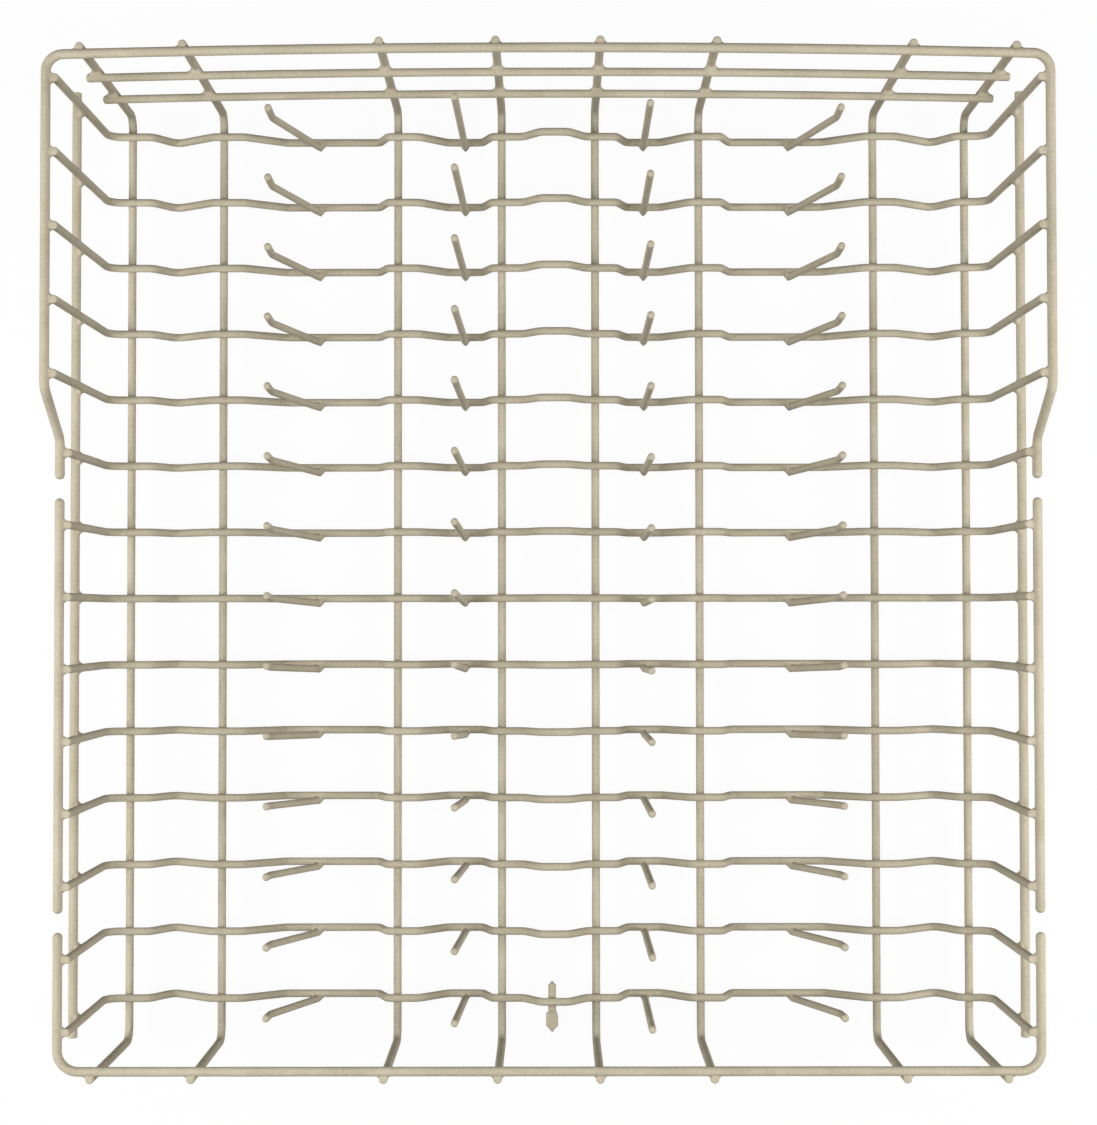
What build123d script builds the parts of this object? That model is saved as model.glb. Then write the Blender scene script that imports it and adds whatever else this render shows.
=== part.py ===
from build123d import *
import os
from math import acos, sin, sqrt

# Lower dishwasher rack of coated wire: a formed wire floor turned up into four walls, rim wires and plate tines.
# Sizes in mm. X runs from left to right, Y from the front wall to the taller rear wall, Z up from the tines' feet.

# Wire thicknesses over the coating
cross_wire_d = 4.4
length_wire_d = 4.6
rim_wire_d = 5.0
lower_rail_d = 5.0
wall_wire_d = 4.4
tine_wire_d = 4.0

# Rows of cross wires, and how far the end walls' legs stand beyond them at the height of the rims
row_count = 14
row_pitch = 38.1
rear_reach = 19.0
front_reach = 24.5

# Spaces across the width, each side of the middle: from wire to wire of the four length wires, then to the side wall
middle_space = 27.0
plate_space = 60.0
bowl_space = 101.0
cup_space = 53.0
wall_space = 12.5

# The rear wall bows out between its outermost length wires, and leans out from the floor to its rim
rear_bow = 3.0
rear_flare = 3.5

# Rows that reach the high rear rim, then its low free end, then the side rail
high_rows = 5
tail_rows = 1
rail_rows = 6
rail_gap = 10.0
step_run = 24.0

# Heights above the crests of the cross wires
rear_rim_rise = 133.0
side_rim_rise = 98.0
lower_rail_rise = 62.0
wall_wire_low_rise = 50.0
wall_wire_high_rise = 92.0
end_above_rim = 1.2

# Formed floor of a cross wire: crests over the lanes, lows between them and a hump in the middle
form_depth = 15.0
form_shift = 3.5
crest_half = 9.0
hump_rise = 12.4
hump_half = 8.0
steep_run = 7.0
inner_ramp_run = 16.0
outer_ramp_run = 23.0
side_dip_flat = 4.0
side_dip_run = 10.0

# Tines: distances beyond the first and second crests, and heights above the floor's lows
inner_tine_offset = 25.0
outer_tine_offset = 50.2
inner_tine_height = 101.0
outer_tine_height = 82.0
outer_tine_top = 20.0
tine_foot = 1.0

# How far a tine leans outwards and to the rear over its height, the outer ones outwards only up to their bend
outer_tine_out = 19.5
outer_tine_back = 5.2
left_inner_tine_out = 1.8
left_inner_tine_back = 6.3
right_inner_tine_out = -0.5
right_inner_tine_back = 2.8

# Bend radii at the wire's middle, and the rounding of dipped wire ends as a share of the wire's radius,
# less where a leg ends close to its weld
wall_bend_r = 8.0
form_bend_r = 6.0
step_bend_r = 8.0
rear_corner_r = 9.0
front_corner_r = 11.0
tine_bend_r = 12.0
end_round_share = 0.8
weld_end_share = 0.4

# Straight wires' overhang beyond the last wire they are welded to
lower_rail_overhang = 10.0
wall_wire_overhang = 5.5

# Tab under the hump of the front cross wire: round stem and flattened, pointed end
tab_x = 1.7
tab_wire_d = 4.4
tab_rear_length = 10.5
tab_neck_length = 5.4
tab_taper_length = 1.2
tab_blade_length = 7.6
tab_point_length = 3.5
tab_blade_width = 6.8
tab_blade_thickness = 2.2

# Levels and lines worked out from the above
low_z = tine_foot + cross_wire_d / 2
crest_z = low_z + form_depth
hump_z = crest_z + hump_rise
length_z = crest_z - (cross_wire_d + length_wire_d) / 2
rear_rim_z = crest_z + rear_rim_rise
side_rim_z = crest_z + side_rim_rise
lower_rail_z = crest_z + lower_rail_rise
rear_slope = rear_flare / (rear_rim_z - length_z)
rear_end_reach = rear_reach + end_above_rim * rear_slope
first_row_y = ((row_count - 1) * row_pitch + front_reach - rear_end_reach) / 2
row_ys = [first_row_y - i * row_pitch for i in range(row_count)]
rear_leg_y = row_ys[0] + rear_reach
front_leg_y = row_ys[-1] - front_reach
lane_1 = middle_space
lane_2 = lane_1 + plate_space
lane_3 = lane_2 + bowl_space
lane_4 = lane_3 + cup_space
lanes = (lane_1, lane_2, lane_3, lane_4)
side_leg_x = lane_4 + wall_space
rim_x = side_leg_x + (cross_wire_d + rim_wire_d) / 2
lower_rail_x = side_leg_x + (cross_wire_d + lower_rail_d) / 2
rear_wall_r = (lane_4**2 + rear_bow**2) / (2 * rear_bow)


def between_rows(row):
    """Half-way from a row, counted from 1 at the rear, to the next."""
    return (row_ys[row - 1] + row_ys[row]) / 2


def rear_inset(diameter):
    """How far in from the middle of the leaning rear legs a wire lies that touches them."""
    return (length_wire_d + diameter) / 2 * sqrt(1 + rear_slope**2)


def rear_wall_y(x, z, inset):
    """Y on the bowed, leaning rear wall, set in from the legs' middle line."""
    top_y = rear_leg_y - rear_wall_r + sqrt((rear_wall_r - inset) ** 2 - x**2)
    return top_y + (z - rear_rim_z) * rear_slope


def round_ends(solid, centres, diameter, share=end_round_share):
    """Rounds the rims of the wire's ends that lie at the given places."""
    rims = []
    for centre in centres:
        rims.append(solid.edges().filter_by(lambda edge: edge.is_closed).sort_by_distance(centre)[0])
    return fillet(rims, share * diameter / 2)


def wire_along(path, diameter):
    """A round wire swept along a path, with square ends."""
    return sweep(Plane(path @ 0, z_dir=path % 0) * Circle(diameter / 2), path=path)


def rounded_wire(path, diameter, share=end_round_share):
    """A round wire swept along a path, with rounded ends."""
    return round_ends(wire_along(path, diameter), (path @ 0, path @ 1), diameter, share)


def formed_half():
    """The formed floor from its hump out to the last crest, as distances from its middle and heights."""
    return [
        (hump_half, hump_z),
        (lane_1 - crest_half, crest_z),
        (lane_1 + crest_half, crest_z),
        (lane_1 + crest_half + steep_run, low_z),
        (lane_2 - crest_half - inner_ramp_run, low_z),
        (lane_2 - crest_half, crest_z),
        (lane_2 + crest_half, crest_z),
        (lane_2 + crest_half + steep_run, low_z),
        (lane_3 - crest_half - outer_ramp_run, low_z),
        (lane_3 - crest_half, crest_z),
        (lane_3 + crest_half, crest_z),
        (lane_4 - crest_half - side_dip_run - side_dip_flat, low_z),
        (lane_4 - crest_half - side_dip_run, low_z),
        (lane_4 - crest_half, crest_z),
    ]


def cross_wire(rim_z):
    """A cross wire at Y = 0 whose legs end just above a rim."""
    half = formed_half()
    left = [(form_shift - x, 0, z) for x, z in reversed(half)]
    right = [(form_shift + x, 0, z) for x, z in half]
    top_z = rim_z + end_above_rim
    left_leg = [(-side_leg_x, 0, top_z), (-side_leg_x, 0, crest_z)]
    right_leg = [(side_leg_x, 0, crest_z), (side_leg_x, 0, top_z)]
    radii = [wall_bend_r] + [form_bend_r] * (2 * len(half)) + [wall_bend_r]
    path = FilletPolyline(*left_leg, *left, *right, *right_leg, radius=radii)
    return rounded_wire(path, cross_wire_d, weld_end_share)


def length_wire(x):
    """A length wire, outside the rims at both ends."""
    rear_end_z = rear_rim_z + end_above_rim
    path = FilletPolyline(
        (x, rear_wall_y(x, rear_end_z, 0), rear_end_z),
        (x, rear_wall_y(x, length_z, 0), length_z),
        (x, front_leg_y, length_z),
        (x, front_leg_y, side_rim_z + end_above_rim),
        radius=wall_bend_r,
    )
    return rounded_wire(path, length_wire_d, weld_end_share)


def rear_rim():
    """The high rim: two free ends, two steps up, two corners and the bowed rear."""
    inset = rear_inset(rim_wire_d)
    arc_x = rim_x - rear_corner_r - rim_wire_d
    arc_y = rear_wall_y(arc_x, rear_rim_z, inset)
    slope = arc_x / sqrt((rear_wall_r - inset) ** 2 - arc_x**2)
    corner_y = arc_y - (rim_x - arc_x) * slope
    step_y = between_rows(high_rows)
    tail_y = between_rows(high_rows + tail_rows) + rail_gap / 2
    radii = (step_bend_r, step_bend_r, rear_corner_r)
    sides = []
    for side in (-1, 1):
        sides.append(
            FilletPolyline(
                (side * rim_x, tail_y, side_rim_z),
                (side * rim_x, step_y - step_run / 2, side_rim_z),
                (side * rim_x, step_y + step_run / 2, rear_rim_z),
                (side * rim_x, corner_y, rear_rim_z),
                (side * arc_x, arc_y, rear_rim_z),
                radius=radii,
            )
        )
    bow = ThreePointArc(
        (-arc_x, arc_y, rear_rim_z),
        (0, rear_wall_y(0, rear_rim_z, inset), rear_rim_z),
        (arc_x, arc_y, rear_rim_z),
    )
    path = Wire(sides[0].edges() + bow.edges() + sides[1].edges())
    return rounded_wire(path, rim_wire_d)


def front_rim():
    """The low rim round the front."""
    tail_y = between_rows(high_rows + tail_rows + rail_rows) - rail_gap / 2
    corner_y = front_leg_y + (length_wire_d + rim_wire_d) / 2
    path = FilletPolyline(
        (-rim_x, tail_y, side_rim_z),
        (-rim_x, corner_y, side_rim_z),
        (rim_x, corner_y, side_rim_z),
        (rim_x, tail_y, side_rim_z),
        radius=front_corner_r,
    )
    return rounded_wire(path, rim_wire_d)


def side_rail(side):
    """The straight rim wire between the free ends of the two rims."""
    rear_y = between_rows(high_rows + tail_rows) - rail_gap / 2
    front_y = between_rows(high_rows + tail_rows + rail_rows) + rail_gap / 2
    path = Line((side * rim_x, rear_y, side_rim_z), (side * rim_x, front_y, side_rim_z))
    return rounded_wire(path, rim_wire_d)


def lower_rail(side):
    """The straight wire half-way up a side wall, cut square."""
    rear_y = row_ys[0] + lower_rail_overhang
    front_y = row_ys[-1] - lower_rail_overhang
    x = side * lower_rail_x
    return wire_along(Line((x, rear_y, lower_rail_z), (x, front_y, lower_rail_z)), lower_rail_d)


def rear_wall_wire(rise):
    """A wire across the inside of the bowed rear wall."""
    inset = rear_inset(wall_wire_d)
    end_x = lane_4 + wall_wire_overhang
    z = crest_z + rise
    end_y = rear_wall_y(end_x, z, inset)
    path = ThreePointArc((-end_x, end_y, z), (0, rear_wall_y(0, z, inset), z), (end_x, end_y, z))
    return rounded_wire(path, wall_wire_d)


def tine_base(side, x, out_slope, back_slope):
    """A tine's direction, and the point on its middle line where it touches the front of a cross wire at Y = 0."""
    slant = Vector(side * out_slope, back_slope, 1).normalized()
    away = Vector(0, -slant.Z, slant.Y).normalized()
    return slant, Vector(form_shift + side * x, 0, low_z) + away * (cross_wire_d + tine_wire_d) / 2


def foot_point(slant, touch):
    """Where a slanted tine's middle line ends so that its square foot stands on Z = 0."""
    foot_z = tine_wire_d / 2 * sin(acos(slant.Z))
    return touch + slant * (foot_z - touch.Z) / slant.Z


def straight_tine(side, out, back):
    """An inner tine."""
    x = lane_1 + inner_tine_offset
    slant, touch = tine_base(side, x, out / inner_tine_height, back / inner_tine_height)
    tip = touch + slant * (low_z + inner_tine_height - touch.Z) / slant.Z
    tine = wire_along(Line(foot_point(slant, touch), tip), tine_wire_d)
    return round_ends(tine, [tip], tine_wire_d)


def bent_tine(side):
    """An outer tine: slanted outwards, with its top bent back upright."""
    x = lane_2 + outer_tine_offset
    bend_height = outer_tine_height - outer_tine_top
    back_slope = outer_tine_back / outer_tine_height
    slant, touch = tine_base(side, x, outer_tine_out / bend_height, back_slope)
    bend = touch + slant * (low_z + bend_height - touch.Z) / slant.Z
    tip = bend + Vector(0, back_slope, 1) * outer_tine_top
    path = FilletPolyline(foot_point(slant, touch), bend, tip, radius=tine_bend_r)
    tine = wire_along(path, tine_wire_d)
    return round_ends(tine, [tip], tine_wire_d)


def front_tab():
    """The tab welded under the hump of the front cross wire."""
    z = hump_z - (cross_wire_d + tab_wire_d) / 2
    rear_y = row_ys[-1] + tab_rear_length
    neck_y = row_ys[-1] - tab_neck_length
    blade_y = neck_y - tab_taper_length
    shoulder_y = blade_y - tab_blade_length
    point_y = shoulder_y - tab_point_length
    half = tab_blade_width / 2
    facing = Plane((tab_x, neck_y, z), x_dir=(1, 0, 0), z_dir=(0, -1, 0))
    round_face = facing * Circle(tab_wire_d / 2)
    flat_face = facing.offset(tab_taper_length) * RectangleRounded(
        tab_blade_width, tab_blade_thickness, tab_blade_thickness / 3
    )
    stem = extrude(round_face, -(rear_y - neck_y))
    rear_end = (tab_x, rear_y, z)
    stem = round_ends(stem, [rear_end], tab_wire_d)
    taper = loft([round_face.face(), flat_face.face()])
    outline = Polyline(
        (-half, blade_y), (-half, shoulder_y), (0, point_y), (half, shoulder_y), (half, blade_y), close=True
    )
    blade = Pos(tab_x, 0, z) * extrude(make_face(outline), tab_blade_thickness / 2, both=True)
    return stem + taper + blade


def save(name, *solids):
    """Writes one node, alone or as a group of separate solids."""
    shape = solids[0] if len(solids) == 1 else Compound(children=list(solids))
    export_step(shape, f"parts/{name}.step")


os.makedirs("parts", exist_ok=True)

# Cross wires, of two heights
high_wire = cross_wire(rear_rim_z)
low_wire = cross_wire(side_rim_z)
for i, y in enumerate(row_ys):
    save(f"cross_wire_{i + 1:02d}", Pos(0, y, 0) * (high_wire if i < high_rows else low_wire))

# Length wires, numbered from left to right
for i, x in enumerate([-lane for lane in reversed(lanes)] + list(lanes)):
    save(f"length_wire_{i + 1}", length_wire(x))

# Rims, rails and rear wall wires
save("rear_rim", rear_rim())
save("front_rim", front_rim())
for name, side in (("left", -1), ("right", 1)):
    save(f"{name}_side_rail", side_rail(side))
    save(f"{name}_lower_rail", lower_rail(side))
save("rear_wall_wire_lower", rear_wall_wire(wall_wire_low_rise))
save("rear_wall_wire_upper", rear_wall_wire(wall_wire_high_rise))

# Tines, one on each cross wire in each column
columns = {
    "outer_left_tines": bent_tine(-1),
    "inner_left_tines": straight_tine(-1, left_inner_tine_out, left_inner_tine_back),
    "inner_right_tines": straight_tine(1, right_inner_tine_out, right_inner_tine_back),
    "outer_right_tines": bent_tine(1),
}
for name, tine in columns.items():
    save(name, *[Pos(0, y, 0) * tine for y in row_ys])

save("front_tab", front_tab())
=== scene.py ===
import bpy
import numpy as np
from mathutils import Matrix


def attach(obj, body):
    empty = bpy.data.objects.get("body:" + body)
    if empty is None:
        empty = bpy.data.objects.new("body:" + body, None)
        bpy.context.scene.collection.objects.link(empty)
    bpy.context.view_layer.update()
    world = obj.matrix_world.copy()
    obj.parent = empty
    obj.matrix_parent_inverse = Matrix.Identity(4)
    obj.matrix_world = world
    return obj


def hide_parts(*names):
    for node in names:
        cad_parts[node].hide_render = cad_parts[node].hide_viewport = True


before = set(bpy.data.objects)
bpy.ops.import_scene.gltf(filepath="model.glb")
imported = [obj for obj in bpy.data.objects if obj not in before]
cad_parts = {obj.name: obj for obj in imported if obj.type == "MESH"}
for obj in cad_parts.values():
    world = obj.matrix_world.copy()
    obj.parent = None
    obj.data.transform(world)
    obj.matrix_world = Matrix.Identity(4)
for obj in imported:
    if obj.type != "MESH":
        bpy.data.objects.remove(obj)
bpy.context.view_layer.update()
print("frame loaded:", len(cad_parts), "wires and tines")

mm = 0.001  # all sizes below are in millimetres and become metres when a mesh is made
sideways, lengthways, upright = np.eye(3)


# Unit vectors: each row divided by its own length.
def unit(vectors):
    vectors = np.asarray(vectors, float)
    return vectors / np.linalg.norm(vectors, axis=-1, keepdims=True)


# A bent line: every inner corner becomes the arc that touches both runs, centre on the corner's bisector,
# and the arc turns from the first touching point by as much as the runs differ in direction.
def bentLine(corners, radii, arcPoints=8):
    corners = np.asarray(corners, float)
    radius = np.broadcast_to(np.asarray(radii, float), len(corners) - 2)[:, None]
    back = unit(corners[:-2] - corners[1:-1])
    ahead = unit(corners[2:] - corners[1:-1])
    turn = np.pi - np.arccos(np.sum(back * ahead, axis=1, keepdims=True))
    reach = radius * np.tan(turn / 2)
    centre = corners[1:-1] + unit(back + ahead) * np.hypot(reach, radius)
    outward = (corners[1:-1] + back * reach - centre) / radius
    angle = (turn * np.linspace(0, 1, arcPoints))[:, :, None]
    swing = np.cos(angle) * outward[:, None] - np.sin(angle) * back[:, None]
    arcs = centre[:, None] + radius[:, None] * swing
    return np.vstack([corners[:1], arcs.reshape(-1, 3), corners[-1:]])


# The same line with every stretch cut into equal steps, none longer than the given one.
def evenSteps(line, step=5.0):
    gaps = np.linalg.norm(np.diff(line, axis=0), axis=1)
    cuts = np.maximum(np.ceil(gaps / step).astype(int), 1)
    first = np.repeat(np.arange(len(gaps)), cuts)
    before = np.repeat(np.cumsum(cuts) - cuts, cuts)
    share = ((np.arange(cuts.sum()) - before) / cuts[first])[:, None]
    return np.vstack([line[first] + (line[first + 1] - line[first]) * share, line[-1:]])


# Faces of a tube of rings: quads between neighbouring rings, and at each end a fan round a pole.
# The two poles are the last two points.
def tubeFaces(rings, sides):
    start = np.arange(rings - 1)[:, None] * sides
    here = np.arange(sides)
    beside = (here + 1) % sides
    quads = np.stack([start + here, start + beside, start + sides + beside, start + sides + here], axis=2)
    lastRing = (rings - 1) * sides
    firstPole = np.full(sides, rings * sides)
    firstFan = np.stack([firstPole, beside, here], 1)
    lastFan = np.stack([firstPole + 1, lastRing + here, lastRing + beside], 1)
    return quads.reshape(-1, 4), np.vstack([firstFan, lastFan])


# Unevenness of the dipped layer: two waves along each wire, and a bead behind each well rounded end
coat = dict(ripple=0.008, longWave=61.0, shortWave=23.0, shortShare=0.6, shortPhase=2.3,
            bead=0.035, beadLength=6.0, beadFrom=0.5, capRings=6, capClear=0.3)


# A coated wire: a circle carried square to the line. Near an end the radius falls along a quarter ellipse,
# r - c + c cos(a) at c sin(a) from where the rounding starts, and the last small disc closes on a pole.
# The layer's thickness swells in two slow waves along the wire and in a bead behind each rounded end.
# Over the length of a drip, the half of the start that faces away from "across" is drawn in to the
# straight sides of a ridge: the circle there is divided by |cos(a)| + |sin(a)|.
def wireSurface(line, thickness, across, endRound, phase, sides=20, drip=0.0):
    along = np.concatenate([[0], np.cumsum(np.linalg.norm(np.diff(line, axis=0), axis=1))])
    total, radius = along[-1], thickness / 2
    startCap, endCap = np.array(endRound) * radius
    turn = np.linspace(0, np.pi / 2, coat["capRings"])
    body = along[(along > startCap + coat["capClear"]) & (along < total - endCap - coat["capClear"])]
    place = np.concatenate([startCap * (1 - np.sin(turn[::-1])), body,
                            total - endCap + endCap * np.sin(turn)])
    size = np.concatenate([radius - startCap + startCap * np.cos(turn[::-1]), np.full(len(body), radius),
                           radius - endCap + endCap * np.cos(turn)])
    longSwell = np.sin(place / coat["longWave"] * 2 * np.pi + phase)
    shortSwell = np.sin(place / coat["shortWave"] * 2 * np.pi + coat["shortPhase"] * phase)
    size = size * (1 + coat["ripple"] * (longSwell + coat["shortShare"] * shortSwell))
    for distance, cap in ((place, startCap), (total - place, endCap)):
        if cap > coat["beadFrom"] * radius:
            size = size * (1 + coat["bead"] * np.exp(-(((distance - cap) / coat["beadLength"]) ** 2)))
    middle = np.stack([np.interp(place, along, line[:, axis]) for axis in range(3)], 1)
    ahead = unit(np.gradient(middle, place, axis=0))
    side = unit(across - ahead * (ahead @ across)[:, None])
    other = np.cross(ahead, side)
    angle = np.linspace(0, 2 * np.pi, sides, endpoint=False)
    out, up = np.cos(angle), np.sin(angle)
    drawn = np.clip(1 - place / drip, 0, 1)[:, None] if drip else 0
    ridge = np.where(out < 0, 1 - 1 / (np.abs(out) + np.abs(up)), 0)
    reach = (size[:, None] * (1 - drawn * ridge))[:, :, None]
    rings = middle[:, None] + reach * (out[:, None] * side[:, None] + up[:, None] * other[:, None])
    points = np.vstack([rings.reshape(-1, 3), line[:1], line[-1:]])
    return points, tubeFaces(len(place), sides)


# One piece from several surfaces, smooth all over, riding on the rack and finished in its coating.
# Each surface brings its points and faces, and a pool of coating also its normals.
def makePiece(name, surfaces, nodes=()):
    points, faces, normals, start = [], [], [], 0
    for surface in surfaces:
        points.append(surface[0] * mm)
        for corners in surface[1]:
            faces += (corners + start).tolist()
        normals += surface[2:]
        start += len(surface[0])
    mesh = bpy.data.meshes.new(name)
    mesh.from_pydata(np.vstack(points), [], faces)
    mesh.polygons.foreach_set("use_smooth", np.ones(len(mesh.polygons), bool))
    mesh.update()
    if normals:
        mesh.normals_split_custom_set_from_vertices(np.vstack(normals))  # shading runs on into both wires
    piece = bpy.data.objects.new(name, mesh)
    bpy.context.scene.collection.objects.link(piece)
    piece.data.materials.append(tanCoating)
    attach(piece, "root")
    if nodes:
        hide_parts(*nodes)


# Dipped plastic layer: warm grey tan, clouded at hand's breadth and at wire scale, with fine orange peel.
# Each noise has its scale, detail and roughness.
# dark, middle and pale are the coating's own random tone; the range and levels of the side shade are painted
# shade
coatingLook = dict(dark=(0.49, 0.435, 0.306), colour=(0.60, 0.539, 0.398), pale=(0.70, 0.632, 0.496),
                   middle=0.5, clouds=(38.0, 3, 0.55), grain=(620.0, 4, 0.6), peel=(1500.0, 2, 0.5),
                   tintRange=(0.6, 1.4), paintedShadeRange=(0.0, 0.75), paintedShadeLevels=(0.86, 1.0),
                   grainRange=(0.3, 0.7), roughness=(0.64, 0.80), peelStrength=0.35, peelHeight=0.00006,
                   ior=1.5, specular=0.2)


# The coating: clouds plus grain choose a colour from dark to pale, which is scaled by painted shade: darker
# as the normal turns from up to the side, as if lit from above. The grain also sets the roughness, and the
# peel is bump.
def makeCoating(look):
    material = bpy.data.materials.new("tanCoating")
    material.use_nodes = True
    nodes, links = material.node_tree.nodes, material.node_tree.links
    shader = nodes["Principled BSDF"]
    place = nodes.new("ShaderNodeTexCoord")

    # Noise at the piece's own place, with its scale, detail and roughness.
    def noise(settings):
        node = nodes.new("ShaderNodeTexNoise")
        for socket, value in zip(("Scale", "Detail", "Roughness"), settings):
            node.inputs[socket].default_value = value
        links.new(place.outputs["Object"], node.inputs["Vector"])
        return node.outputs["Fac"]

    # One range stretched on to another in a straight line.
    def stretched(source, fromRange, toRange=(0, 1)):
        node = nodes.new("ShaderNodeMapRange")
        for socket, value in zip(("From Min", "From Max", "To Min", "To Max"), (*fromRange, *toRange)):
            node.inputs[socket].default_value = value
        links.new(source, node.inputs["Value"])
        return node.outputs["Result"]

    clouds, grain, peel = noise(look["clouds"]), noise(look["grain"]), noise(look["peel"])
    both = nodes.new("ShaderNodeMath")  # clouds and grain added, so that neither reads as a pattern
    both.operation = "ADD"
    links.new(clouds, both.inputs[0])
    links.new(grain, both.inputs[1])
    tint = nodes.new("ShaderNodeValToRGB")
    stops = tint.color_ramp.elements
    stops[0].color = (*look["dark"], 1)
    stops[1].color = (*look["pale"], 1)
    stops.new(look["middle"]).color = (*look["colour"], 1)
    links.new(stretched(both.outputs["Value"], look["tintRange"]), tint.inputs["Fac"])
    facing = nodes.new("ShaderNodeSeparateXYZ")  # painted shade: the colour is darker on the sides than on top, as if lit from above
    links.new(place.outputs["Normal"], facing.inputs["Vector"])
    paintedShadeColour = nodes.new("ShaderNodeVectorMath")
    paintedShadeColour.operation = "SCALE"
    links.new(tint.outputs["Color"], paintedShadeColour.inputs[0])
    links.new(stretched(facing.outputs["Z"], look["paintedShadeRange"], look["paintedShadeLevels"]), paintedShadeColour.inputs["Scale"])
    links.new(paintedShadeColour.outputs["Vector"], shader.inputs["Base Color"])
    links.new(stretched(grain, look["grainRange"], look["roughness"]), shader.inputs["Roughness"])
    bump = nodes.new("ShaderNodeBump")
    bump.inputs["Strength"].default_value = look["peelStrength"]
    bump.inputs["Distance"].default_value = look["peelHeight"]
    links.new(peel, bump.inputs["Height"])
    links.new(bump.outputs["Normal"], shader.inputs["Normal"])
    shader.inputs["IOR"].default_value = look["ior"]
    shader.inputs["Specular IOR Level"].default_value = look["specular"]
    return material


tanCoating = makeCoating(coatingLook)
print("coating mixed")

# Rows and levels that all wires share; the sinks are how deep rims and tines are pressed in at their welds
rack = dict(rowCount=14, rowPitch=38.1, rearReach=19.0, frontReach=24.5, rearBow=3.0, rearFlare=3.5,
            spaces=(27.0, 60.0, 101.0, 53.0), wallSpace=12.5, formDepth=15.0, formShift=3.5, wallBend=8.0,
            crossThick=4.4, lengthThick=4.6, rimThick=5.0, wallThick=4.4, tineThick=4.0, tineFoot=1.0,
            rearRimRise=133.0, sideRimRise=98.0, endAboveRim=1.2, highRows=5, tailRows=1, railRows=6,
            railGap=10.0, legEndRound=(0.4, 0.4), freeEndRound=(0.97, 0.97),
            rearSink=1.1, frontSink=0.7, tineSink=1.4)
rCross, rLength, rRim = rack["crossThick"] / 2, rack["lengthThick"] / 2, rack["rimThick"] / 2
rWall, rTine = rack["wallThick"] / 2, rack["tineThick"] / 2
lanes = np.cumsum(rack["spaces"])
laneX = np.concatenate([-lanes[::-1], lanes])
legX = lanes[3] + rack["wallSpace"]
rimX = legX + rCross + rRim
lowZ = rack["tineFoot"] + rCross
crestZ = lowZ + rack["formDepth"]
lengthZ = crestZ - rCross - rLength
rearRimZ = crestZ + rack["rearRimRise"]
sideRimZ = crestZ + rack["sideRimRise"]
rearSlope = rack["rearFlare"] / (rearRimZ - lengthZ)
firstRowY = ((rack["rowCount"] - 1) * rack["rowPitch"] + rack["frontReach"] - rack["rearReach"]
             - rack["endAboveRim"] * rearSlope) / 2
rowNumber = np.arange(rack["rowCount"])
rowY = firstRowY - rack["rowPitch"] * rowNumber
rowRimZ = np.where(rowNumber < rack["highRows"], rearRimZ, sideRimZ)
rearLegY = rowY[0] + rack["rearReach"]
frontLegY = rowY[-1] - rack["frontReach"]
wallRadius = (lanes[3] ** 2 + rack["rearBow"] ** 2) / (2 * rack["rearBow"])


# Half-way between a row, counted from 1 at the rear, and the next.
def betweenRows(row):
    return (rowY[row - 1] + rowY[row]) / 2


# Y of the rear wall: a shallow circle seen from above, set in by a distance, that leans out with height.
def rearWallY(x, z, inset):
    bowed = np.sqrt((wallRadius - inset) ** 2 - np.square(x))
    return rearLegY - wallRadius + bowed + (z - rearRimZ) * rearSlope


# How far inside the leaning legs' middle a wire lies that touches them: half of both thicknesses,
# stretched by the lean.
def rearInset(radius):
    return (rLength + radius) * np.sqrt(1 + rearSlope**2)


# Cross wires: crests over the length wires, lows between them, a hump in the middle and a leg at each side
crossWire = dict(crestHalf=9.0, humpRise=12.4, humpHalf=8.0, steepRun=6.0, innerRamp=16.0, outerRamp=23.0,
                 dipFlat=4.0, dipRun=10.0, formBend=6.0, steepBend=3.6, wave=1.7)
humpZ = crestZ + crossWire["humpRise"]


# The floor's half profile as distances from its middle, heights and bends: from the hump down to the first
# crest, and then from crest to low and from low to crest in turn. The two steep steps have tighter bends.
def formedHalf(form):
    half, steep = form["crestHalf"], form["steepRun"]
    out = [form["humpHalf"], lanes[0] - half,
           lanes[0] + half, lanes[0] + half + steep,
           lanes[1] - half - form["innerRamp"], lanes[1] - half,
           lanes[1] + half, lanes[1] + half + steep,
           lanes[2] - half - form["outerRamp"], lanes[2] - half,
           lanes[2] + half, lanes[3] - half - form["dipRun"] - form["dipFlat"],
           lanes[3] - half - form["dipRun"], lanes[3] - half]
    level = [humpZ, crestZ] + [crestZ, lowZ, lowZ, crestZ] * 3
    soft, tight = [form["formBend"]] * 2, [form["steepBend"]] * 2
    return np.array(out), np.array(level), np.array(soft + tight + soft + tight + soft * 3)


# A cross wire's middle line: the half profile and its mirror image, moved sideways, between two upright legs.
def crossLine(y, rimZ):
    out, level, bend = formedHalf(crossWire)
    topZ = rimZ + rack["endAboveRim"]
    x = np.concatenate([[-legX, -legX], rack["formShift"] - out[::-1], rack["formShift"] + out, [legX, legX]])
    z = np.concatenate([[topZ, crestZ], level[::-1], level, [crestZ, topZ]])
    bends = np.concatenate([[rack["wallBend"]], bend[::-1], bend, [rack["wallBend"]]])
    return evenSteps(bentLine(np.stack([x, np.full(len(x), y), z], 1), bends))


for i, y in enumerate(rowY):
    line = crossLine(y, rowRimZ[i])
    wire = wireSurface(line, rack["crossThick"], lengthways, rack["legEndRound"], crossWire["wave"] * i)
    makePiece(f"crossWire{i + 1:02d}", [wire], [f"cross_wire_{i + 1:02d}"])
print("cross wires bent:", len(rowY))

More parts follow.
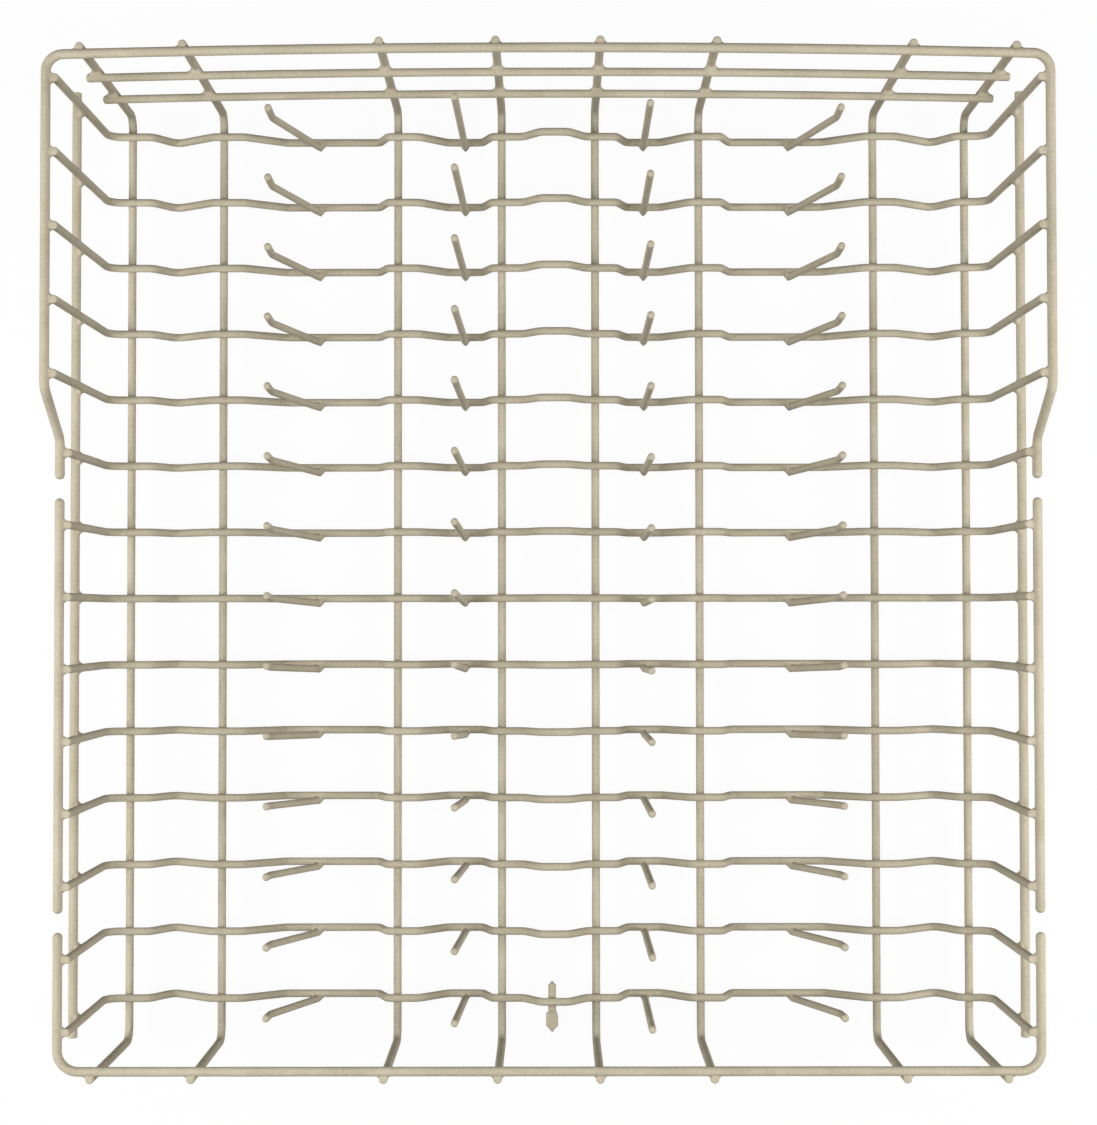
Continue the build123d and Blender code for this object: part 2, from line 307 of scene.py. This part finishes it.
# Length wires under the cross wires, up the leaning rear wall and the upright front wall
lengthWire = dict(bendPoints=12, wave=2.1, firstWave=0.4)
rearEndZ = rearRimZ + rack["endAboveRim"]
frontEndZ = sideRimZ + rack["endAboveRim"]
for i, x in enumerate(laneX):
    corners = [(x, rearWallY(x, rearEndZ, 0), rearEndZ), (x, rearWallY(x, lengthZ, 0), lengthZ),
               (x, frontLegY, lengthZ), (x, frontLegY, frontEndZ)]
    line = evenSteps(bentLine(corners, rack["wallBend"], lengthWire["bendPoints"]))
    phase = lengthWire["wave"] * i + lengthWire["firstWave"]
    wire = wireSurface(line, rack["lengthThick"], sideways, rack["legEndRound"], phase)
    makePiece(f"lengthWire{i + 1}", [wire], [f"length_wire_{i + 1}"])
print("length wires bent:", len(laneX))

# Rear rim: free ends, steps up to the high part, corners and the bowed rear
rearRim = dict(stepRun=24.0, stepBend=8.0, cornerBend=9.0, bendPoints=12, bowPoints=90, wave=0.9)
tailRow = rack["highRows"] + rack["tailRows"]
tailY = betweenRows(tailRow)
frontTailY = betweenRows(tailRow + rack["railRows"])
halfGap = rack["railGap"] / 2
rimInset = rearInset(rRim) - rack["rearSink"]
bowX = rimX - rearRim["cornerBend"] - rack["rimThick"]
bowY = rearWallY(bowX, rearRimZ, rimInset)
cornerY = bowY - (rimX - bowX) * bowX / np.sqrt((wallRadius - rimInset) ** 2 - bowX**2)
stepY = betweenRows(rack["highRows"])
halfStep = rearRim["stepRun"] / 2


# One side of the rear rim: a bent line from its free end up the step and round the corner,
# which lies where the bow's tangent meets the side.
def rearRimSide(side):
    corners = [(side * rimX, tailY + halfGap, sideRimZ), (side * rimX, stepY - halfStep, sideRimZ),
               (side * rimX, stepY + halfStep, rearRimZ), (side * rimX, cornerY, rearRimZ),
               (side * bowX, bowY, rearRimZ)]
    bends = (rearRim["stepBend"], rearRim["stepBend"], rearRim["cornerBend"])
    return bentLine(corners, bends, rearRim["bendPoints"])


x = np.linspace(-bowX, bowX, rearRim["bowPoints"])[1:-1]
bow = np.stack([x, rearWallY(x, rearRimZ, rimInset), np.full(len(x), rearRimZ)], 1)
line = evenSteps(np.vstack([rearRimSide(-1), bow, rearRimSide(1)[::-1]]))
wire = wireSurface(line, rack["rimThick"], upright, rack["freeEndRound"], rearRim["wave"])
makePiece("rearRim", [wire], ["rear_rim"])

# Front rim, side rails and lower rails
frontRim = dict(cornerBend=11.0, bendPoints=14, wave=2.7)
frontRimY = frontLegY + rLength + rRim - rack["frontSink"]
frontEndY = frontTailY - halfGap
corners = [(-rimX, frontEndY, sideRimZ), (-rimX, frontRimY, sideRimZ),
           (rimX, frontRimY, sideRimZ), (rimX, frontEndY, sideRimZ)]
line = evenSteps(bentLine(corners, frontRim["cornerBend"], frontRim["bendPoints"]))
wire = wireSurface(line, rack["rimThick"], upright, rack["freeEndRound"], frontRim["wave"])
makePiece("frontRim", [wire], ["front_rim"])

sideRail = dict(wave=3.0)
lowerRail = dict(rise=62.0, overhang=10.0, endRound=(0.22, 0.22), wave=5.0)
lowerRailZ = crestZ + lowerRail["rise"]


# A straight rail at one side, from one Y to another.
def railSurface(side, rearY, frontY, z, endRound, phase):
    ends = np.array([(side * rimX, rearY, z), (side * rimX, frontY, z)])
    return wireSurface(evenSteps(ends), rack["rimThick"], upright, endRound, phase)


for name, side in (("left", -1), ("right", 1)):
    rail = railSurface(side, tailY - halfGap, frontTailY + halfGap, sideRimZ, rack["freeEndRound"],
                       side + sideRail["wave"])
    makePiece(f"{name}SideRail", [rail], [f"{name}_side_rail"])
    rail = railSurface(side, rowY[0] + lowerRail["overhang"], rowY[-1] - lowerRail["overhang"], lowerRailZ,
                       lowerRail["endRound"], side + lowerRail["wave"])
    makePiece(f"{name}LowerRail", [rail], [f"{name}_lower_rail"])

# Two bowed wires inside the rear wall
wallWire = dict(rises=dict(lower=50.0, upper=92.0), overhang=5.5, endRound=(0.7, 0.45), points=110)
for name, rise in wallWire["rises"].items():
    x = np.linspace(-1, 1, wallWire["points"]) * (lanes[3] + wallWire["overhang"])
    z = np.full(len(x), crestZ + rise)
    line = np.stack([x, rearWallY(x, z, rearInset(rWall)), z], 1)
    wire = wireSurface(line, rack["wallThick"], upright, wallWire["endRound"], rise)
    makePiece(f"{name}WallWire", [wire], [f"rear_wall_wire_{name}"])
print("rims, rails and wall wires bent")

# Tines on the front of the cross wires: outer ones lean out and bend upright, inner ones are straight
outerTine = dict(offset=50.2, height=82.0, top=20.0, out=19.5, back=5.2, bend=12.0, bendPoints=9,
                 endRound=(0.7, 0.8), drip=5.0, sides=18, wave=0.7)
innerTine = dict(offset=25.0, height=101.0, out=dict(left=1.8, right=-0.5), back=dict(left=6.3, right=2.8),
                 endRound=(0.7, 0.8), drip=5.0, sides=18, wave=0.9)


# A tine's direction, the direction away from its cross wire, and the point of its middle line beside the
# front of a cross wire at Y = 0: half of both thicknesses less the sink away from that wire's middle.
def tineBase(side, x, outSlope, backSlope):
    slant = unit([side * outSlope, backSlope, 1])
    away = unit([0, -slant[2], slant[1]])
    apart = rCross + rTine - rack["tineSink"]
    return slant, away, np.array([rack["formShift"] + side * x, 0, lowZ]) + away * apart


# The straight part of a tine's middle line, from the height at which its slanted foot just stands on the
# floor to its knee or tip. Only the foot is sunk into the cross wire: the far end lies where it would
# without that.
def tineEnds(slant, away, touch, height):
    footZ = rTine * np.sqrt(1 - slant[2] ** 2)
    foot = touch + slant * (footZ - touch[2]) / slant[2]
    whole = touch + away * rack["tineSink"]
    return foot, whole + slant * (lowZ + height - whole[2]) / slant[2]


# A column of tines: the same line set at every row.
def tineColumn(line, tine, firstWave):
    line = evenSteps(np.asarray(line))
    return [wireSurface(line + (0, y, 0), rack["tineThick"], lengthways, tine["endRound"],
                        tine["wave"] * i + firstWave, tine["sides"], tine["drip"])
            for i, y in enumerate(rowY)]


tineBases = []  # direction, contact normal and touching point of each column, for the welds
outerBack = outerTine["back"] / outerTine["height"]
kneeHeight = outerTine["height"] - outerTine["top"]
for name, side in (("left", -1), ("right", 1)):
    base = tineBase(side, lanes[1] + outerTine["offset"], outerTine["out"] / kneeHeight, outerBack)
    foot, knee = tineEnds(*base, kneeHeight)
    tip = knee + np.array([0, outerBack, 1]) * outerTine["top"]
    line = bentLine([foot, knee, tip], outerTine["bend"], outerTine["bendPoints"])
    makePiece(f"{name}OuterTines", tineColumn(line, outerTine, side), [f"outer_{name}_tines"])
    tineBases.append(base)
    base = tineBase(side, lanes[0] + innerTine["offset"], innerTine["out"][name] / innerTine["height"],
                    innerTine["back"][name] / innerTine["height"])
    line = tineEnds(*base, innerTine["height"])
    makePiece(f"{name}InnerTines", tineColumn(line, innerTine, -side), [f"inner_{name}_tines"])
    tineBases.append(base)
print("tines set:", len(tineBases) * len(rowY))

# Front tab: round stem that is flattened into a pointed blade
frontTab = dict(x=1.7, thick=4.4, rear=10.5, neck=5.4, taper=1.2, blade=7.6, point=3.5, bladeWide=6.8,
                bladeThick=2.2, roof=1.7, ridge=0.5, squareRun=0.3, slopeRun=3.2, tip=0.2, boxy=7.0,
                rings=44, sides=28)
rTab = frontTab["thick"] / 2
tabZ = humpZ - rCross - rTab


# The tab: a rounded box section |x/w|^n + |z/t|^n = 1 carried forwards, round on the stem (n = 2) and boxy on
# the blade. Its half widths and half thickness run in straight lines between stops: the rear end is a roof,
# the left shoulder is square, the right one slopes, and the blade narrows to its point.
def tabSurface(tab):
    neck = tab["rear"] + tab["neck"]
    blade = neck + tab["taper"]
    shoulder = blade + tab["blade"]
    point = shoulder + tab["point"]
    half, flat = tab["bladeWide"] / 2, tab["bladeThick"] / 2
    leftStops = [0, tab["roof"], blade, blade + tab["squareRun"], shoulder, point]
    rightStops = [0, tab["roof"], neck, neck + tab["slopeRun"], shoulder, point]
    widths = [tab["ridge"], rTab, rTab, half, half, tab["tip"]]
    place = np.unique(np.concatenate([np.linspace(0, point, tab["rings"]), leftStops, rightStops]))[:, None]
    left, right = np.interp(place, leftStops, widths), np.interp(place, rightStops, widths)
    thick = np.interp(place, [neck, blade], [rTab, flat])
    power = 2 / np.interp(place, [neck, blade], [2, tab["boxy"]])
    angle = np.linspace(0, 2 * np.pi, tab["sides"], endpoint=False)
    out, up = np.cos(angle), np.sin(angle)
    x = tab["x"] + np.where(out > 0, right, left) * np.sign(out) * np.abs(out) ** power
    z = tabZ + thick * np.sign(up) * np.abs(up) ** power
    rearY = rowY[-1] + tab["rear"]
    rings = np.stack([x, np.broadcast_to(rearY - place, x.shape), z], 2)
    points = np.vstack([rings.reshape(-1, 3), [(tab["x"], rearY, tabZ), (tab["x"], rearY - point, tabZ)]])
    return points, tubeFaces(len(place), tab["sides"])


makePiece("frontTab", [tabSurface(frontTab)], ["front_tab"])
print("front tab shaped")

# Coating that pools where wires are welded: radius of the fillet at each kind of joint
weld = dict(floor=1.2, wall=2.4, rim=1.8, tine=1.5, tab=1.4, round=14, arc=4, sunk=0.08, lowest=0.3,
            saddleTurn=0.55, saddleWide=1.7, saddleBack=0.1, saddleLift=0.1, saddleSlope=0.3, saddleCrown=0.1)


# A pool of coating round one crossing: the surface left by a ball of radius b that rolls round the contact
# and touches both wires. In each direction g its middle lies k outwards and h up from the contact, so that
# it is b from both wires: (k g1)^2 + (h + d1)^2 = (r1 + b)^2 and (k g2)^2 + (h - d2)^2 = (r2 + b)^2, where
# g1 and g2 are the direction's parts square to each wire, and d1 and d2 the wires' distances, their radii
# less half the sink. The arcs make the side of a spool, whose ends close on a point in each wire. Where the
# first wire ends beside the second, the spool's upper side turns into a saddle from that end to the second
# wire's flank.
def weldPool(contact, normal, axis1, axis2, r1, r2, ball, endHeight=0, sink=0):
    contact, normal = np.asarray(contact, float), np.asarray(normal, float)
    first = unit(axis1 - normal * (axis1 @ normal))
    second = np.cross(normal, first)
    angle = (np.arange(weld["round"]) + 0.5) * 2 * np.pi / weld["round"]
    heading = np.cos(angle)[:, None] * first + np.sin(angle)[:, None] * second
    g1, g2 = (heading @ np.cross(normal, axis1)) ** 2, (heading @ np.cross(normal, axis2)) ** 2
    d1, d2 = r1 - sink / 2, r2 - sink / 2
    e1, e2 = (r1 + ball) ** 2 - d1**2, (r2 + ball) ** 2 - d2**2
    a, b, c = g1 - g2, -2 * (g2 * d1 + g1 * d2), g2 * e1 - g1 * e2
    h = 2 * c / (-b + np.sqrt(np.maximum(b * b - 4 * a * c, 0)))
    reach = np.where(g1 > g2, e1 - h * h - 2 * d1 * h, e2 - h * h + 2 * d2 * h) / np.maximum(g1, g2)
    middle = contact + np.sqrt(np.maximum(reach, 0))[:, None] * heading + h[:, None] * normal
    out1 = middle - (contact - normal * d1)
    out1 = unit(out1 - (out1 @ axis1)[:, None] * axis1)
    out2 = middle - (contact + normal * d2)
    out2 = unit(out2 - (out2 @ axis2)[:, None] * axis2)
    share = np.linspace(0, 1, weld["arc"])[None, :, None]
    facing = unit(out1[:, None] * (1 - share) + out2[:, None] * share)
    arc = middle[:, None] - ball * facing
    arc[:, 0] -= weld["sunk"] * out1
    arc[:, -1] -= weld["sunk"] * out2
    if endHeight:
        rise = np.clip(np.cos(angle) / weld["saddleTurn"], 0, 1)[:, None, None]
        turn = rise * rise * (3 - 2 * rise)
        place = 2 * share - 1
        lift = endHeight + weld["saddleLift"] + weld["saddleSlope"] * place + weld["saddleCrown"] * place**2
        saddle = (contact + normal * (place - weld["saddleBack"]) + axis1 * lift
                  + second * weld["saddleWide"] * np.sin(angle)[:, None, None])
        arc = arc + (saddle - arc) * turn
        facing = unit(facing + (first - facing) * turn)
    rings, facing = arc.transpose(1, 0, 2).reshape(-1, 3), facing.transpose(1, 0, 2).reshape(-1, 3)
    points = np.vstack([rings, contact - normal * r1 / 2, contact + normal * r2 / 2])
    normals = np.vstack([facing, -normal, normal])
    return points, tubeFaces(weld["arc"], weld["round"]), normals


floorWelds = [weldPool((x, y, crestZ - rCross), upright, lengthways, sideways, rLength, rCross, weld["floor"])
              for x in laneX for y in rowY]
makePiece("floorWelds", floorWelds)

sideWelds = []
for y, rimZ in zip(rowY, rowRimZ):
    for side in (-1, 1):
        face, outward = side * (legX + rCross), side * sideways
        sideWelds.append(weldPool((face, y, rimZ), outward, upright, lengthways, rCross, rRim, weld["rim"],
                                  rack["endAboveRim"]))
        sideWelds.append(weldPool((face, y, lowerRailZ), outward, upright, lengthways, rCross, rRim,
                                  weld["wall"]))
makePiece("sideWelds", sideWelds)

endWelds = []
leg = unit([0, rearSlope, 1])
inward = unit([0, -1, rearSlope])
upperZ, lowerZ = crestZ + wallWire["rises"]["upper"], crestZ + wallWire["rises"]["lower"]
for x in laneX:
    turned = unit([wallRadius, -x, 0])  # the bowed wires' own direction here
    for z, radius, ball, above, sink in ((rearRimZ, rRim, weld["rim"], rack["endAboveRim"], rack["rearSink"]),
                                         (upperZ, rWall, weld["wall"], 0, 0),
                                         (lowerZ, rWall, weld["wall"], 0, 0)):
        contact = np.array([x, rearWallY(x, z, 0), z]) + inward * (rLength - sink / 2)
        endWelds.append(weldPool(contact, inward, leg, turned, rLength, radius, ball, above, sink))
    contact = (x, frontLegY + rLength - rack["frontSink"] / 2, sideRimZ)
    endWelds.append(weldPool(contact, lengthways, upright, sideways, rLength, rRim, weld["rim"],
                             rack["endAboveRim"], rack["frontSink"]))
makePiece("endWelds", endWelds)

tineWelds = []
for slant, away, touch in tineBases:
    contact = touch - away * (rTine - rack["tineSink"] / 2)
    points, faces, normals = weldPool(contact, away, sideways, slant, rCross, rTine, weld["tine"],
                                      sink=rack["tineSink"])
    low = points[:, 2] < weld["lowest"]  # what lies below the foot is drawn in towards the contact
    shrink = (contact[2] - weld["lowest"]) / (contact[2] - points[low, 2])
    points[low] = contact + (points[low] - contact) * shrink[:, None]
    tineWelds += [(points + (0, y, 0), faces, normals) for y in rowY]
tabContact = (frontTab["x"], rowY[-1], humpZ - rCross)
tineWelds.append(weldPool(tabContact, -upright, sideways, lengthways, rCross, rTab, weld["tab"]))
makePiece("tineWelds", tineWelds)
print("welds coated:", len(floorWelds) + len(sideWelds) + len(endWelds) + len(tineWelds))

# Studio: pale floor, a soft box at each side and one overhead, and an even pale surround
studio = dict(floorHalf=4000.0, floorColour=(0.20, 0.20, 0.20), seenColour=(0.96, 0.96, 0.96), seenWhite=0.94,
              white=(1, 1, 1), surround=0.07,
              sideLamp=dict(power=10.6, size=700.0, place=(1050.0, -150.0, 720.0)),
              topLamp=dict(power=11.0, size=1200.0, place=(0.0, 0.0, 2200.0)))
floorMesh = bpy.data.meshes.new("studioFloor")
half = studio["floorHalf"] * mm
floorCorners = [(-half, -half, 0), (half, -half, 0), (half, half, 0), (-half, half, 0)]
floorMesh.from_pydata(floorCorners, [], [(0, 1, 2, 3)])
studioFloor = bpy.data.objects.new("studioFloor", floorMesh)
bpy.context.scene.collection.objects.link(studioFloor)


# White as seen by the camera, in reflections and through clear things; elsewhere the plain shader,
# which sets how much light comes back. The larger of the three ray kinds is the share of white.
def whiteWhereSeen(tree, plain, white, target):
    nodes, links = tree.nodes, tree.links
    path = nodes.new("ShaderNodeLightPath")
    seen = nodes.new("ShaderNodeMath")
    seen.operation = "MAXIMUM"
    links.new(path.outputs["Is Camera Ray"], seen.inputs[0])
    links.new(path.outputs["Is Glossy Ray"], seen.inputs[1])
    through = nodes.new("ShaderNodeMath")
    through.operation = "MAXIMUM"
    links.new(seen.outputs["Value"], through.inputs[0])
    links.new(path.outputs["Is Transmission Ray"], through.inputs[1])
    mix = nodes.new("ShaderNodeMixShader")
    links.new(through.outputs["Value"], mix.inputs[0])
    links.new(plain.outputs[0], mix.inputs[1])
    links.new(white.outputs[0], mix.inputs[2])
    links.new(mix.outputs[0], target)


floorPaint = bpy.data.materials.new("studioFloorPaint")
floorPaint.use_nodes = True
tree = floorPaint.node_tree
tree.nodes.remove(tree.nodes["Principled BSDF"])
paint = tree.nodes.new("ShaderNodeBsdfDiffuse")
paint.inputs["Color"].default_value = (*studio["floorColour"], 1)
shaded = tree.nodes.new("ShaderNodeBsdfDiffuse")  # the part of the white floor that takes the rack's shadow
shaded.inputs["Color"].default_value = (*studio["seenColour"], 1)
glow = tree.nodes.new("ShaderNodeEmission")
glow.inputs["Color"].default_value = (*studio["white"], 1)
seenFloor = tree.nodes.new("ShaderNodeMixShader")
seenFloor.inputs[0].default_value = studio["seenWhite"]
tree.links.new(shaded.outputs[0], seenFloor.inputs[1])
tree.links.new(glow.outputs[0], seenFloor.inputs[2])
whiteWhereSeen(tree, paint, seenFloor, tree.nodes["Material Output"].inputs["Surface"])
floorMesh.materials.append(floorPaint)

world = bpy.data.worlds.new("studioSurround")
bpy.context.scene.world = world
world.use_nodes = True
tree = world.node_tree
surround = tree.nodes["Background"]
surround.inputs["Color"].default_value = (*studio["white"], 1)
surround.inputs["Strength"].default_value = studio["surround"]
backdrop = tree.nodes.new("ShaderNodeBackground")
backdrop.inputs["Color"].default_value = (*studio["white"], 1)
whiteWhereSeen(tree, surround, backdrop, tree.nodes["World Output"].inputs["Surface"])


# A soft box facing the rack's middle: turned about Y by its own slope, then about Z towards its place.
def softBox(name, lampLook, side):
    lamp = bpy.data.lights.new(name, "AREA")
    lamp.energy = lampLook["power"]
    lamp.size = lampLook["size"] * mm
    x, y, z = np.array(lampLook["place"]) * (side, 1, 1)
    box = bpy.data.objects.new(name, lamp)
    box.location = np.array((x, y, z)) * mm
    box.rotation_euler = (0, np.arctan2(np.hypot(x, y), z), np.arctan2(y, x))
    box.visible_camera = False
    bpy.context.scene.collection.objects.link(box)


softBox("leftSoftBox", studio["sideLamp"], -1)
softBox("rightSoftBox", studio["sideLamp"], 1)
softBox("topSoftBox", studio["topLamp"], 1)

# Camera straight above, a little to the front of the middle
view = dict(place=(1.1, -26.48, 1208.2), turn=(1.475, 0.060, -0.062), lens=66.24, sensor=36.0,
            clip=(0.05, 50.0))
lens = bpy.data.cameras.new("overhead")
lens.lens = view["lens"]
lens.sensor_width = view["sensor"]
lens.clip_start, lens.clip_end = view["clip"]
overhead = bpy.data.objects.new("overhead", lens)
overhead.location = np.array(view["place"]) * mm
overhead.rotation_euler = np.radians(view["turn"])
bpy.context.scene.collection.objects.link(overhead)
bpy.context.scene.camera = overhead
bpy.context.scene.view_settings.view_transform = "Standard"
print("studio and camera set")
